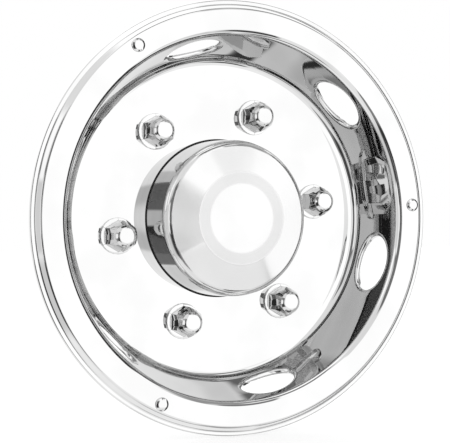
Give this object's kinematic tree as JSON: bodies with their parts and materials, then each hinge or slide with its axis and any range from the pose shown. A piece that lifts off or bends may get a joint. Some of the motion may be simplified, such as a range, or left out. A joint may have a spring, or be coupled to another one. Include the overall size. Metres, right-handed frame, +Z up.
{
  "type": "truck wheel simulator",
  "caption": "Dished mirror-polished steel cover for the face of a light truck wheel, with oval hand holes, a hub cap and lug-nut covers, held by clips behind its flange.",
  "frame": {"origin": "centre of the stud circle, on the back face of the disc", "axes": "+Y along the axle, out of the back of the cover towards the truck; the shown face looks along -Y; +Z up"},
  "size_m": [0.4286, 0.0657, 0.4286],
  "materials": {
    "polished_stainless": "polished",
    "chrome_plate": "polished",
    "spring_steel": "satin"
  },
  "bodies": {
    "root": {"wheel_liner": "polished_stainless", "hub_cap": "polished_stainless", "lug_nut_1": "chrome_plate", "lug_retainer_1": "spring_steel", "lug_nut_2": "chrome_plate", "lug_retainer_2": "spring_steel", "lug_nut_3": "chrome_plate", "lug_retainer_3": "spring_steel", "lug_nut_4": "chrome_plate", "lug_retainer_4": "spring_steel", "lug_nut_5": "chrome_plate", "lug_retainer_5": "spring_steel", "lug_nut_6": "chrome_plate", "lug_retainer_6": "spring_steel", "clip_rivet_1": "chrome_plate", "rim_clip_1": "spring_steel", "clip_rivet_2": "chrome_plate", "rim_clip_2": "spring_steel", "clip_rivet_3": "chrome_plate", "rim_clip_3": "spring_steel"}
  },
  "joints": []
}
